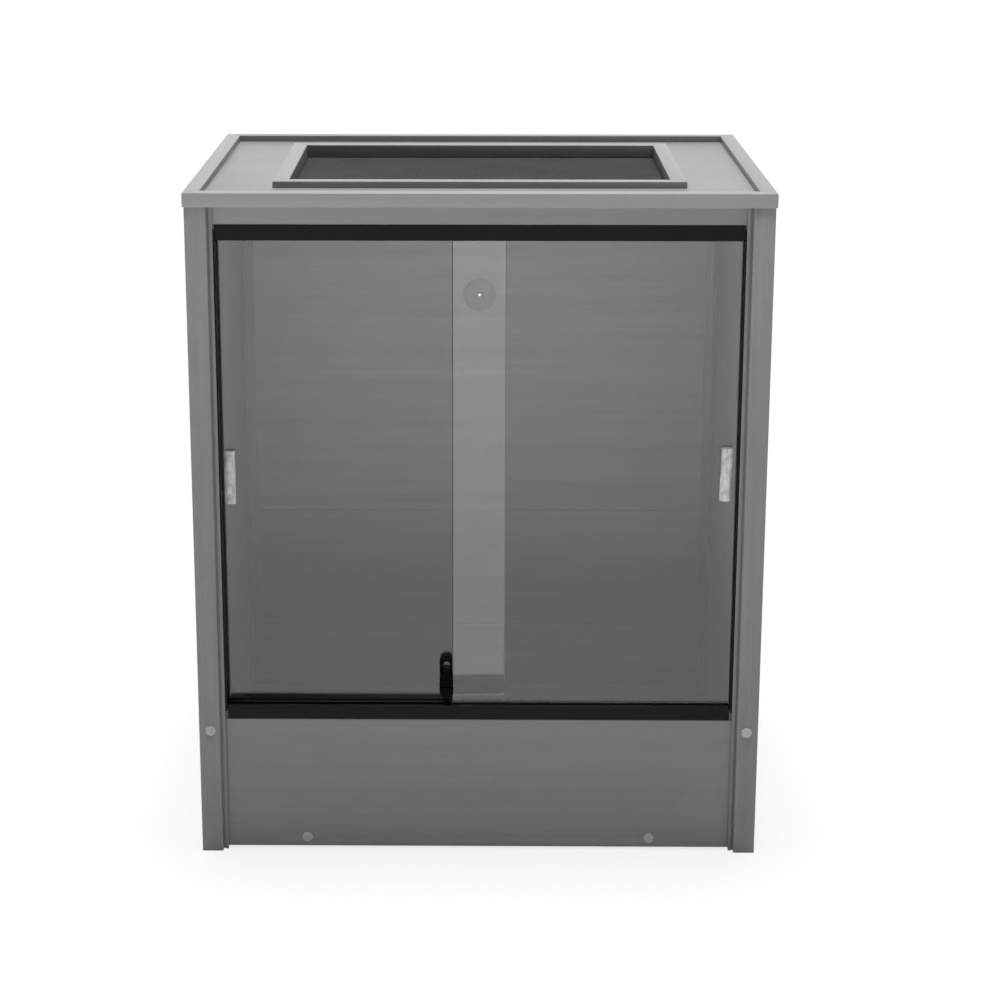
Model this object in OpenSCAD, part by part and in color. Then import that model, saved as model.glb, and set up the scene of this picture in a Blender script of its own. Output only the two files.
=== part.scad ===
// Front-opening reptile terrarium with two sliding glass doors.
//
// A knock-down cabinet of extruded composite boards.  Four stepped corner posts hold
// the tongue-and-groove boards of the walls in their slots.  Double tracks are pushed
// on the tongues of the front boards and carry the doors, and a cap of edge trim holds
// the recessed top panel with its screened cut-out.
//
// Millimetres.  X runs to the right seen from the front, Y runs to the back and Z up.
// The origin is on the floor under the middle of the cabinet.

/* [Cabinet] */
// Width over the cap
cabinet_w = 610; // [480:5:900]
// Depth over the cap
cabinet_d = 457; // [400:1:600]
// Height to the top of the cap
cabinet_h = 730; // [640:5:900]
// How far the cap stands out past the posts
cap_overhang = 1.5; // [0.5:0.5:4]

/* [Boards] */
// Thickness of the wall, floor and top boards
board_t = 8; // [7:0.5:9.5]
// Face height of one full board
board_h = 150; // [130:5:170]
// Face height of the lowest wall board, which is cut down
lowest_h = 110; // [80:5:130]
// Gap between the boards and the floor, which leaves the posts as feet
base_lift = 2.5; // [1:0.5:5]
// Height of the tongue on the top edge of a board
tongue_h = 9; // [6:0.5:12]
// Thickness of the tongue
tongue_t = 3.6; // [2.6:0.2:4.2]
// Clearance on each side of a tongue
tongue_fit = 0.15; // [0.05:0.05:0.3]
// Bevel along the faces of a seam
seam_bevel = 0.8; // [0.3:0.1:1.2]

/* [Posts] */
// Width of a post's outer faces
post_face = 23; // [20:0.5:30]
// Width of the flange beside the face
post_flange = 5.3; // [4:0.1:8]
// Set-back of the flange from the face
flange_step = 6; // [4:0.5:8]
// Width of the shadow groove between face and flange
shadow_w = 1.8; // [1:0.1:2.5]
// Extra depth of the shadow groove
shadow_deep = 1.2; // [0.4:0.1:1.6]
// Thickness of the flange
lip_t = 2.4; // [2:0.1:3]
// Thickness of the lip behind the boards
inner_lip_t = 1.8; // [1.2:0.1:2.4]
// Depth of the slots that take the boards
slot_deep = 9.3; // [7:0.1:9.4]
// Wall of the extrusion round its hollow chambers
post_wall = 2; // [1.4:0.1:2.4]
// Radius of the post's outer edges
post_edge_r = 1.6; // [0.5:0.1:2.5]
// Clearance of a board in its slot
slot_fit = 0.1; // [0.05:0.05:0.2]

/* [Cap and top] */
// Height of the cap's outer leg
trim_h = 15; // [12:0.5:22]
// Width of the trim's top plate
trim_w = 16.6; // [14:0.2:20]
// Thickness of the trim
trim_t = 2; // [1.5:0.1:2.5]
// Chamfer along the trim's outer edges
trim_edge = 0.7; // [0.2:0.1:1]
// Clearance between a panel edge and the trim
trim_fit = 0.1; // [0.05:0.05:0.3]
// Width of the screen frame over its trim
screen_w = 437; // [300:1:460]
// Depth of the screen frame over its trim
screen_d = 300; // [200:1:320]
// Width of the mesh's border under the panel
mesh_border = 11; // [9:0.5:14]
// Thickness of the mesh
mesh_t = 1.2; // [0.8:0.1:1.6]
// Width of one mesh bar
mesh_bar = 3.6; // [2:0.1:5]
// Openings of the mesh across the cabinet
mesh_nx = 20; // [12:1:21]
// Openings of the mesh front to back
mesh_ny = 13; // [8:1:14]
// Thickness of the frame that clamps the mesh
retainer_t = 2; // [1.5:0.1:3]

/* [Door tracks] */
// Height from the upper track's lower edge to the top of the posts
header_drop = 36; // [30:1:70]
// How far the tracks stand proud of the boards
track_proud = 0.5; // [0.2:0.1:1]
// Thickness of the front lip
front_lip_t = 5; // [3:0.5:6]
// Width of a glass groove
glass_groove_w = 7.5; // [6.5:0.1:8.5]
// Thickness of the divider between the grooves
divider_t = 4.5; // [3:0.5:6]
// Thickness of the rear lip
rear_lip_t = 3; // [2:0.5:4]
// Thickness of the groove floor
track_floor_t = 2; // [1.5:0.1:2.5]
// Depth of the lower grooves
lower_groove_h = 4; // [3:0.5:6]
// Depth of the upper grooves
upper_groove_h = 8; // [7:0.5:14]
// Height of the tongue on the header board
header_tongue_h = 6; // [4:0.5:8]
// Room over a tongue in a track
track_top_gap = 0.5; // [0.2:0.1:1]
// Gap between the ends of the lower track and the post flanges
track_end_gap = 2.9; // [2.4:0.1:5]
// Thickness of the jamb strip
jamb_t = 1.7; // [1.2:0.1:2]
// Wall of the jamb strip's legs
jamb_leg_t = 1.4; // [1:0.1:2]

/* [Glass doors] */
// Thickness of the glass
glass_t = 5; // [4:0.5:6]
// How far the two panes overlap in the middle
pane_overlap = 57; // [40:1:80]
// Gap under a pane
pane_lift = 0.3; // [0.1:0.1:0.5]
// Gap between a pane and the jamb
pane_side_gap = 0.4; // [0.2:0.1:1]
// Width of a finger pull
pull_w = 12; // [10:0.5:16]
// Height of a finger pull
pull_h = 58; // [40:1:80]
// Thickness of a finger pull, which passes between the panes
pull_t = 6; // [4:0.1:6.2]
// Rise of a pull's crowned front
pull_crown = 3.4; // [1:0.1:4.5]
// Distance of the left pull's middle from the pane's outer edge
left_pull_inset = 7.6; // [7:0.1:30]
// Distance of the right pull's middle from the pane's outer edge
right_pull_inset = 11.6; // [9:0.1:30]
// Height of the left pull's middle
left_pull_z = 421; // [300:1:560]
// Height of the right pull's middle
right_pull_z = 429; // [300:1:560]
// Lean of the right pull
right_pull_lean = 1.4; // [0:0.1:4]

/* [Door catch] */
// Width of the catch
catch_w = 15; // [14:0.5:20]
// Height of the catch
catch_h = 46; // [42:1:60]
// Thickness of the catch
catch_t = 10.8; // [9.5:0.1:11]
// Height of its lower end above the track's lip
catch_clear = 7; // [4:0.5:12]
// How far the catch grips over the pane's edge
catch_grip = 1.3; // [1:0.1:2]
// Height of the flat bar that runs from the catch behind the front pane
catch_bar_h = 18; // [14:0.5:24]
// Height of the bar's lower edge above the catch's lower end
catch_bar_z = 2.6; // [2:0.2:6]
// Angle at which the bar rises to the right
catch_bar_rise = 1.4; // [0:0.1:2]
// Travel of the bolt
bolt_travel = 11; // [8:0.5:12]
// Width of the bolt
bolt_w = 5.6; // [4.6:0.1:6]
// Thickness of the bolt's tongue
bolt_t = 3.6; // [3:0.1:4.4]
// Height of the bolt's thumb block
bolt_block_h = 14.5; // [12:0.5:16]
// Clearance of the bolt
bolt_fit = 0.2; // [0.1:0.05:0.3]

/* [Floor] */
// Width of a floor bearer
bearer_w = 20; // [16:1:30]
// Height of a floor bearer
bearer_h = 22; // [18:1:30]
// Distance of the bearers from the middle
bearer_x = 188; // [120:1:200]
// Clearance round the floor panel
floor_fit = 0.2; // [0.1:0.1:0.5]

/* [Cable port] */
// Height of the cable port in the back wall
port_z = 537; // [450:1:590]
// Diameter of the grommet's flanges
port_flange_d = 40; // [36:1:60]
// Diameter of the grommet's barrel
port_barrel_d = 34; // [26:1:40]
// Thickness of a flange
port_flange_t = 2.2; // [1.5:0.1:3]
// Diameter of the hole in the grommet's membrane
port_hole_d = 3.2; // [2:0.2:8]
// Thickness of the membrane
port_membrane_t = 2; // [1:0.1:3]

/* [Screws] */
// Height of the post screws
post_screw_z = 141.5; // [125:0.5:230]
// Diameter of a screw's shank
screw_d = 5; // [4:0.1:5.4]
// Length of a screw
screw_l = 50; // [40:1:60]
// Diameter of a screw's head
screw_head_d = 9; // [8:0.1:10]
// Height of a screw's head
screw_head_h = 3; // [2:0.1:4]
// Diameter of a cover cap
cap_d = 12; // [11:0.1:14]
// Thickness of a cover cap
cap_t = 1.4; // [1:0.1:2.5]
// Lobes on the rim of a cover cap
cap_lobes = 9; // [7:1:12]

/* [Hidden] */

composite = "#8f8f8f";
composite_dark = "#777777";
composite_pale = "#b9b9b9";
track_black = "#262626";
glass_grey = "#c8d4d4";
acrylic = "#dcdcdc";
cut = 1;          // how far a cutting shape runs past the surface that it cuts
$fn = 48;

// Posts and boards
post_x = cabinet_w/2 - cap_overhang;          // outer faces of the posts
post_y = cabinet_d/2 - cap_overhang;
post_h = cabinet_h - trim_h;                  // the top panel lies on the posts
slot_from = flange_step + lip_t;              // near side of the board slot
slot_w = board_t + 2*slot_fit;
slot_to = slot_from + slot_w;
inner_to = slot_to + inner_lip_t;
post_reach = post_face + post_flange;
slot_floor = post_reach - slot_deep;
board_face = slot_from + slot_fit;            // set-back of the boards' outer face
board_back = board_face + board_t;            // set-back of their inner face
board_entry_gap = 0.4;                        // room past a board's end in the slot
front_half = post_x - slot_floor - board_entry_gap;
side_half = post_y - slot_floor - board_entry_gap;
seam_1 = base_lift + lowest_h;
seam_2 = seam_1 + board_h;
wall_x = post_x - board_back;                 // inner faces of the walls
wall_y = post_y - board_back;

// Tracks, counted back from the front face of a track
track_y = -post_y + board_face - track_proud;
track_d = front_lip_t + 2*glass_groove_w + divider_t + rear_lip_t;
track_tongue = track_proud + board_t/2;       // middle of the tongue's slot
base_top = base_lift + board_h;
lower_slot_h = tongue_h + track_top_gap;
upper_slot_h = header_tongue_h + track_top_gap;
lower_floor_z = base_top + lower_slot_h + track_floor_t;
lower_lip_z = lower_floor_z + lower_groove_h;
upper_track_z = post_h - header_drop;         // lower edge of the upper track
upper_ceiling_z = upper_track_z + upper_groove_h;
header_z = upper_ceiling_z + track_floor_t + upper_slot_h;
opening_half = post_x - post_reach;           // between the post flanges
jamb_half = opening_half - slot_fit;          // outer side of the jamb strips

// Panes
pane_half = jamb_half - jamb_t - pane_side_gap;
pane_w = pane_half + pane_overlap/2;
pane_z = lower_floor_z + pane_lift;
pane_top = upper_ceiling_z - lower_groove_h - pane_lift;
front_pane_y = track_y + front_lip_t + (glass_groove_w - glass_t)/2;
rear_pane_y = front_pane_y + glass_groove_w + divider_t;

// Top
panel_z = post_h;
panel_top = panel_z + board_t;
trim_short = trim_h - board_t;
cutout_w = screen_w - 2*(trim_w - trim_t - trim_fit);
cutout_d = screen_d - 2*(trim_w - trim_t - trim_fit);
mesh_w = screen_w - 2*trim_w + 2*mesh_border;
mesh_d = screen_d - 2*trim_w + 2*mesh_border;
mesh_clear_w = screen_w - 2*trim_w;
mesh_clear_d = screen_d - 2*trim_w;
retainer_screw_d = 3;
retainer_screw_l = retainer_t + mesh_t + board_t - 2;
retainer_head_d = 5.4;

// Catch, whose bolt drops into the front groove
catch_x = -pane_overlap/2 + catch_grip - catch_w/2;
catch_y = front_pane_y + glass_t/2 - catch_t/2;
catch_z = lower_lip_z + catch_clear;
bolt_z = catch_z + 13.5;                      // underside of the thumb block at rest
bolt_tip = 3;                                 // how far the tongue stays inside the groove
bolt_pad_t = 1.2;
bolt_pad_w = bolt_w + 1.8;
bolt_pad_h = bolt_block_h - 4;
catch_recess = 0.8;                           // depth of the front inside its rim

// Screws
side_mid = post_x - board_face - board_t/2;   // middle plane of the side boards
bearer_screw_z = base_lift + bearer_h/2;
screw_fit = 0.05;
socket_d = 3.4;
socket_h = 2.5;

// ---- Profiles --------------------------------------------------------------

// Section of a corner post, its outer corner at the origin.  Both arms have a face,
// a shadow groove, a flange and a slot for a board.
module post_arm() {
    square([post_face, slot_from]);
    translate([post_face - cut, flange_step + shadow_deep])
        square([shadow_w + cut, lip_t - shadow_deep]);
    translate([post_face + shadow_w, flange_step])
        square([post_flange - shadow_w, lip_t]);
    translate([slot_to, slot_to]) square([post_reach - slot_to, inner_lip_t]);
    square([slot_floor, inner_to]);
}

module post_chamber() {
    translate([post_wall, post_wall])
        square([post_face - 2*post_wall, slot_from - 2*post_wall]);
}

module post_section() {
    difference() {
        union() {
            post_arm();
            mirror([1, -1]) post_arm();
        }
        // slots for the two boards
        translate([slot_floor, slot_from]) square([post_reach, slot_w]);
        translate([slot_from, slot_floor]) square([slot_w, post_reach]);
        // hollow chambers of the extrusion
        post_chamber();
        mirror([1, -1]) post_chamber();
        translate([slot_from + post_wall, slot_from + post_wall])
            square(slot_floor - slot_from - 2*post_wall);
        // rounded outer edges
        edge_round();
        translate([post_face, 0]) mirror([1, 0]) edge_round();
        translate([0, post_face]) mirror([0, 1]) edge_round();
    }
}

module edge_round() {
    difference() {
        translate([-cut, -cut]) square(post_edge_r + cut);
        translate([post_edge_r, post_edge_r]) circle(r = post_edge_r);
    }
}

// Section of a board, its foot at the origin and its middle on x = 0
module board_section(h, tongue, groove) {
    b = seam_bevel;
    half = board_t/2;
    difference() {
        union() {
            polygon([[-half + b, 0], [half - b, 0], [half, b], [half, h - b],
                     [half - b, h], [-half + b, h], [-half, h - b], [-half, b]]);
            translate([-tongue_t/2, h - cut]) square([tongue_t, tongue + cut]);
        }
        if (groove)
            translate([-tongue_t/2 - tongue_fit, -cut])
                square([tongue_t + 2*tongue_fit, tongue_h + track_top_gap + cut]);
    }
}

// Section of a track, with the slot for the tongue below and the grooves above.
// The strut under the overhanging rear groove leaves a closed chamber.
module track_section(slot_h, groove_h) {
    floor_top = slot_h + track_floor_t;
    back = track_proud + board_t;
    strut = 2.4;
    difference() {
        union() {
            square([back, slot_h + cut]);
            translate([0, slot_h]) square([track_d, track_floor_t]);
            translate([0, floor_top - cut]) track_lip(front_lip_t, groove_h + cut);
            translate([front_lip_t + glass_groove_w, floor_top - cut])
                track_lip(divider_t, groove_h + cut);
            translate([track_d - rear_lip_t, floor_top - cut])
                track_lip(rear_lip_t, groove_h + cut);
            polygon([[back - cut, 0], [back, 0], [track_d, slot_h - 1], [track_d, slot_h + cut/2],
                     [track_d - strut*1.5, slot_h + cut/2], [back - cut, strut]]);
        }
        translate([track_tongue - tongue_t/2 - tongue_fit, -cut])
            square([tongue_t + 2*tongue_fit, slot_h + cut]);
    }
}

// One lip of a track, with its upper edges broken
module track_lip(t, h) {
    b = 0.5;
    polygon([[0, 0], [t, 0], [t, h - b], [t - b, h], [b, h], [0, h - b]]);
}

// Section of the edge trim: a top plate with a long leg at x = 0 and a short leg
module trim_section() {
    b = trim_edge;
    polygon([[0, 0], [trim_t, 0], [trim_t, trim_h - trim_t], [trim_w - trim_t, trim_h - trim_t],
             [trim_w - trim_t, board_t], [trim_w, board_t], [trim_w, trim_h - b],
             [trim_w - b, trim_h], [b, trim_h], [0, trim_h - b]]);
}

// ---- Shared shapes ---------------------------------------------------------

// Draws a section along X: the section's x becomes Y and its y becomes Z
module along_x(length) {
    rotate([90, 0, 90]) linear_extrude(length, center = true) children();
}

// A wall board whose outer face looks towards -Y
module front_board(half, h, tongue, groove) {
    along_x(2*half) board_section(h, tongue, groove);
}

// Moves a board to one wall: 0 front, 1 right, 2 back, 3 left
module on_wall(side) {
    offset = (side % 2 == 0 ? post_y : post_x) - board_face - board_t/2;
    rotate([0, 0, 90*side]) translate([0, -offset, 0]) children();
}

// One length of mitred trim, the long leg outside, centred and starting at y = 0
module mitred_trim(length) {
    intersection() {
        along_x(length) trim_section();
        translate([0, 0, -cut]) linear_extrude(trim_h + 2*cut)
            polygon([[-length/2, 0], [length/2, 0],
                     [length/2 - trim_w, trim_w], [-length/2 + trim_w, trim_w]]);
    }
}

// The same trim with its long leg inside, as it lines a cut-out
module mitred_lining(length) {
    intersection() {
        translate([0, trim_w, 0]) mirror([0, 1, 0]) along_x(length) trim_section();
        translate([0, 0, -cut]) linear_extrude(trim_h + 2*cut)
            polygon([[-length/2, 0], [length/2, 0],
                     [length/2 - trim_w, trim_w], [-length/2 + trim_w, trim_w]]);
    }
}

// A screw that points along +Y with the face of its head at the origin
module screw(fit = 0) {
    rotate([-90, 0, 0]) difference() {
        union() {
            translate([0, 0, fit > 0 ? -cut : 0])
                cylinder(d = screw_head_d + 2*fit, h = 0.4 + (fit > 0 ? cut : 0));
            translate([0, 0, 0.4])
                cylinder(d1 = screw_head_d + 2*fit, d2 = screw_d + 2*fit, h = screw_head_h - 0.4);
            cylinder(d = screw_d + 2*fit, h = screw_l + (fit > 0 ? 1 : 0));
        }
        if (fit == 0) translate([0, 0, -cut]) cylinder(d = socket_d, h = socket_h + cut);
    }
}

// A lobed cover cap on a face at y = 0, with its stem in the screw's socket
module cover_cap() {
    lobe_r = 1.5;
    rotate([90, 0, 0]) {
        linear_extrude(cap_t - 0.5) {
            circle(d = cap_d - lobe_r);
            for (i = [0 : cap_lobes - 1])
                rotate(i*360/cap_lobes) translate([cap_d/2 - lobe_r, 0]) circle(r = lobe_r, $fn = 24);
        }
        translate([0, 0, cap_t - 0.5]) cylinder(d1 = cap_d - lobe_r, d2 = cap_d - 3.5, h = 0.5);
        translate([0, 0, -socket_h + 0.3])
            cylinder(d = socket_d - 2*screw_fit, h = socket_h);
    }
}

// Places of the post screws and of the bearer screws, front or rear
module at_post_screws() {
    for (s = [-1, 1]) translate([s*side_mid, -post_y, post_screw_z]) children();
}

module at_bearer_screws() {
    for (s = [-1, 1])
        translate([s*bearer_x, -post_y + board_face, bearer_screw_z]) children();
}

module at_rear() {
    rotate([0, 0, 180]) children();
}

module all_screw_holes() {
    for (turn = [0, 180]) rotate([0, 0, turn]) {
        at_post_screws() screw(screw_fit);
        at_bearer_screws() screw(screw_fit);
    }
}

// ---- Posts -----------------------------------------------------------------

module corner_post(sx, sy) {
    color(composite) difference() {
        mirror([sx > 0 ? 1 : 0, 0, 0]) mirror([0, sy > 0 ? 1 : 0, 0])
            translate([-post_x, -post_y, 0]) linear_extrude(post_h) post_section();
        all_screw_holes();
    }
}

module post_front_left() { corner_post(-1, -1); }
module post_front_right() { corner_post(1, -1); }
module post_rear_left() { corner_post(-1, 1); }
module post_rear_right() { corner_post(1, 1); }

// ---- Front frame -----------------------------------------------------------

module base_board() {
    color(composite_dark) difference() {
        on_wall(0) translate([0, 0, base_lift]) front_board(front_half, board_h, tongue_h, false);
        all_screw_holes();
    }
}

module header_board() {
    h = post_h - header_z;
    color(composite) on_wall(0) translate([0, 0, post_h]) mirror([0, 0, 1])
        front_board(front_half, h, header_tongue_h, false);
}

module lower_track() {
    color(track_black) translate([0, track_y, base_top])
        along_x(2*(opening_half - track_end_gap)) track_section(lower_slot_h, lower_groove_h);
}

module upper_track() {
    color(track_black) translate([0, track_y, header_z]) mirror([0, 0, 1])
        along_x(2*(jamb_half - jamb_t - slot_fit)) track_section(upper_slot_h, upper_groove_h);
}

// Black strip beside a door: a plate across the jamb with two legs in the post's slot
module jamb_strip() {
    foot = base_top + tongue_h + slot_fit;
    head = header_z - header_tongue_h - slot_fit;
    leg_l = slot_deep - 1;
    near = -post_y + board_face;
    color(track_black) translate([0, 0, foot]) linear_extrude(head - foot) {
        translate([jamb_half - jamb_t, track_y - 1]) square([jamb_t, track_d + 1]);
        for (y = [near, near + board_t - jamb_leg_t])
            translate([jamb_half - cut, y]) square([leg_l + cut, jamb_leg_t]);
    }
}

module jamb_strip_right() { jamb_strip(); }
module jamb_strip_left() { mirror([1, 0, 0]) jamb_strip(); }

// ---- Glass doors -----------------------------------------------------------

module pane(y) {
    edge = 0.6;
    color(glass_grey, 0.35) translate([-pane_half, y, pane_z])
        linear_extrude(pane_top - pane_z)
            polygon([[0, edge], [edge, 0], [pane_w - edge, 0], [pane_w, edge],
                     [pane_w, glass_t - edge], [pane_w - edge, glass_t],
                     [edge, glass_t], [0, glass_t - edge]]);
}

module glass_left() { pane(rear_pane_y); }
module glass_right() { mirror([1, 0, 0]) pane(front_pane_y); }

// A clear finger pull, cut from a bar with a crowned front and bonded on the glass
module finger_pull() {
    crown_r = (pow(pull_w/2, 2) + pow(pull_crown, 2)) / (2*pull_crown);
    end_bevel = 0.8;
    color(acrylic, 0.6) intersection() {
        translate([0, 0, -pull_h/2]) linear_extrude(pull_h) intersection() {
            translate([-pull_w/2, -pull_t]) square([pull_w, pull_t]);
            translate([0, crown_r - pull_t]) circle(r = crown_r, $fn = 96);
        }
        rotate([90, 0, 90]) linear_extrude(pull_w + cut, center = true)
            polygon([[0, -pull_h/2], [0, pull_h/2], [-pull_t + end_bevel, pull_h/2],
                     [-pull_t, pull_h/2 - end_bevel], [-pull_t, -pull_h/2 + end_bevel],
                     [-pull_t + end_bevel, -pull_h/2]]);
    }
}

module pull_left() {
    translate([-pane_half + left_pull_inset, rear_pane_y, left_pull_z]) finger_pull();
}

module pull_right() {
    translate([pane_half - right_pull_inset, front_pane_y, right_pull_z])
        rotate([0, right_pull_lean, 0]) finger_pull();
}

// ---- Door catch ------------------------------------------------------------

// A plate with round ends that stands on its lower end: two discs and the bar between
module obround_plate(w, h, t) {
    rotate([90, 0, 0]) translate([0, 0, -t]) {
        translate([0, w/2, 0]) cylinder(d = w, h = t);
        translate([0, h - w/2, 0]) cylinder(d = w, h = t);
        translate([-w/2, w/2, 0]) cube([w, h - w, t]);
    }
}

// Clips on the free edge of the front pane.  The bolt runs in a keyhole slot.
module catch_housing() {
    key_w = bolt_w + 2*bolt_fit;
    slot_z = bolt_z - catch_z - bolt_fit;
    head_r = key_w/2 + 1.3;
    head_z = slot_z + bolt_block_h + bolt_travel + 2*bolt_fit - 2.6;
    rim = 1.4;
    recess = catch_recess;
    color(track_black) translate([catch_x, catch_y, catch_z]) difference() {
        obround_plate(catch_w, catch_h, catch_t);
        // channel for the pane's edge
        translate([catch_w/2 - catch_grip, catch_t/2 - glass_t/2 - bolt_fit/2, -cut])
            cube([catch_w, glass_t + bolt_fit, catch_h + 2*cut]);
        // keyhole slot from front to back
        translate([-key_w/2, -cut, slot_z]) cube([key_w, catch_t + 2*cut, head_z - slot_z]);
        translate([0, -cut, head_z]) rotate([-90, 0, 0]) cylinder(r = head_r, h = catch_t + 2*cut);
        // recess that leaves a raised rim round the front
        translate([0, -cut, rim]) obround_plate(catch_w - 2*rim, catch_h - 2*rim, cut + recess);
        // guide for the tongue
        translate([-key_w/2, catch_t/2 - bolt_t/2 - bolt_fit, -cut])
            cube([key_w, bolt_t + 2*bolt_fit, slot_z + 2*cut]);
    }
    color(track_black) translate([catch_x, catch_y, catch_z]) catch_bar();
}

// Flat bar in the gap between the panes, from the catch's rear cheek to the rear pane's edge
module catch_bar() {
    from_x = catch_w/2 - catch_grip - 1;
    inset = 0.3;                                  // of its faces in the rear cheek's
    cheek = catch_t/2 - glass_t/2 - bolt_fit/2;   // thickness of the rear cheek
    end_r = 3;
    length = pane_overlap/2 - catch_x - from_x;
    translate([from_x, catch_t - inset, catch_bar_z]) rotate([0, -catch_bar_rise, 0])
        rotate([90, 0, 0]) linear_extrude(cheek - 2*inset) union() {
            square([length - end_r, catch_bar_h]);
            translate([0, end_r]) square([length, catch_bar_h - 2*end_r]);
            translate([length - end_r, end_r]) circle(r = end_r);
            translate([length - end_r, catch_bar_h - end_r]) circle(r = end_r);
        }
}

// Thumb block between two pads, and a tongue that drops into the front groove
module catch_bolt() {
    pad_from = (bolt_block_h - bolt_pad_h)/2;
    front_seat = catch_recess - bolt_fit;         // back of the front pad
    rib_h = 1.4;
    rib_t = 0.5;
    ribs = 3;
    rib_pitch = (bolt_pad_h - rib_h)/(ribs + 1);
    color("#1c1c1c") translate([catch_x, catch_y, bolt_z]) {
        translate([-bolt_w/2, front_seat, 0])
            cube([bolt_w, catch_t + bolt_fit - front_seat, bolt_block_h]);
        // ribbed thumb pad in front
        translate([-bolt_pad_w/2, front_seat - bolt_pad_t, pad_from]) {
            cube([bolt_pad_w, bolt_pad_t, bolt_pad_h]);
            for (i = [1 : ribs])
                translate([0, -rib_t, i*rib_pitch]) cube([bolt_pad_w, 2*rib_t, rib_h]);
        }
        // keeper pad behind
        translate([-bolt_pad_w/2, catch_t + bolt_fit, pad_from])
            cube([bolt_pad_w, bolt_pad_t, bolt_pad_h]);
        // tongue
        translate([-bolt_w/2, catch_t/2 - bolt_t/2, lower_lip_z - bolt_tip - bolt_z])
            cube([bolt_w, bolt_t, bolt_z - lower_lip_z + bolt_tip + cut]);
    }
}

// ---- Walls -----------------------------------------------------------------

module wall_lower(side, half) {
    on_wall(side) translate([0, 0, base_lift]) front_board(half, lowest_h, tongue_h, false);
}

module wall_middle(side, half) {
    on_wall(side) translate([0, 0, seam_1]) front_board(half, board_h, tongue_h, true);
}

module wall_upper(side, half) {
    on_wall(side) translate([0, 0, seam_2]) front_board(half, post_h - seam_2, 0, true);
}

module back_board_lower() { bored() wall_lower(2, front_half); }
module back_board_middle() { color(composite) wall_middle(2, front_half); }

module back_panel_upper() {
    color(composite) difference() {
        wall_upper(2, front_half);
        translate([0, wall_y - cut, port_z]) rotate([-90, 0, 0])
            cylinder(d = port_barrel_d + 2*slot_fit, h = board_t + 2*cut);
    }
}

// A side board, bored for the post screws where they reach it
module bored() {
    color(composite) difference() {
        children();
        all_screw_holes();
    }
}

module left_board_lower() { bored() wall_lower(3, side_half); }
module left_board_middle() { bored() wall_middle(3, side_half); }
module left_panel_upper() { color(composite) wall_upper(3, side_half); }
module right_board_lower() { bored() wall_lower(1, side_half); }
module right_board_middle() { bored() wall_middle(1, side_half); }
module right_panel_upper() { color(composite) wall_upper(1, side_half); }

// ---- Floor -----------------------------------------------------------------

module bearer(s) {
    color(composite_dark) difference() {
        translate([s*bearer_x - bearer_w/2, -wall_y, base_lift]) cube([bearer_w, 2*wall_y, bearer_h]);
        all_screw_holes();
    }
}

module floor_bearer_left() { bearer(-1); }
module floor_bearer_right() { bearer(1); }

// The floor lies on the bearers and is notched round the posts' inner lips
module floor_panel() {
    half_x = wall_x - floor_fit;
    half_y = wall_y - floor_fit;
    lip = inner_to + floor_fit;
    reach = post_reach + floor_fit;
    color(composite_pale) translate([0, 0, base_lift + bearer_h]) linear_extrude(board_t)
        difference() {
            square([2*half_x, 2*half_y], center = true);
            for (sx = [-1, 1], sy = [-1, 1]) mirror([sx > 0 ? 1 : 0, 0]) mirror([0, sy > 0 ? 1 : 0])
                translate([-post_x, -post_y]) {
                    square([reach, lip]);
                    square([lip, reach]);
                }
        }
}

// ---- Top -------------------------------------------------------------------

module top_panel() {
    half_x = cabinet_w/2 - trim_t - trim_fit;
    half_y = cabinet_d/2 - trim_t - trim_fit;
    color(composite_pale) translate([0, 0, panel_z]) difference() {
        translate([-half_x, -half_y, 0]) cube([2*half_x, 2*half_y, board_t]);
        translate([-cutout_w/2, -cutout_d/2, -cut]) cube([cutout_w, cutout_d, board_t + 2*cut]);
        at_retainer_screws() cylinder(d = retainer_screw_d + 2*screw_fit, h = board_t - 1.5);
    }
}

module cap_side(turn, length, out) {
    color(composite_pale) rotate([0, 0, turn]) translate([0, -out, panel_z]) mitred_trim(length);
}

module cap_front() { cap_side(0, cabinet_w, cabinet_d/2); }
module cap_rear() { cap_side(180, cabinet_w, cabinet_d/2); }
module cap_right() { cap_side(90, cabinet_d, cabinet_w/2); }
module cap_left() { cap_side(-90, cabinet_d, cabinet_w/2); }

module screen_side(turn, length, out) {
    color(composite) rotate([0, 0, turn]) translate([0, -out, panel_z]) mitred_lining(length);
}

module screen_trim_front() { screen_side(0, screen_w, screen_d/2); }
module screen_trim_rear() { screen_side(180, screen_w, screen_d/2); }
module screen_trim_right() { screen_side(90, screen_d, screen_w/2); }
module screen_trim_left() { screen_side(-90, screen_d, screen_w/2); }

// Places of the screws that clamp the mesh, under the panel
module at_retainer_screws() {
    x = (mesh_w - mesh_border)/2;
    y = (mesh_d - mesh_border)/2;
    for (p = [[-x, -y], [0, -y], [x, -y], [-x, 0], [x, 0], [-x, y], [0, y], [x, y]])
        translate([p[0], p[1], 0]) children();
}

module screen_mesh() {
    pitch_x = (mesh_clear_w + mesh_bar)/mesh_nx;
    pitch_y = (mesh_clear_d + mesh_bar)/mesh_ny;
    color("#303030") translate([0, 0, panel_z - mesh_t]) linear_extrude(mesh_t) difference() {
        square([mesh_w, mesh_d], center = true);
        for (i = [0 : mesh_nx - 1], j = [0 : mesh_ny - 1])
            translate([(i - (mesh_nx - 1)/2)*pitch_x, (j - (mesh_ny - 1)/2)*pitch_y])
                square([pitch_x - mesh_bar, pitch_y - mesh_bar], center = true);
        at_retainer_screws() circle(d = retainer_screw_d + 2*screw_fit);
    }
}

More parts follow.
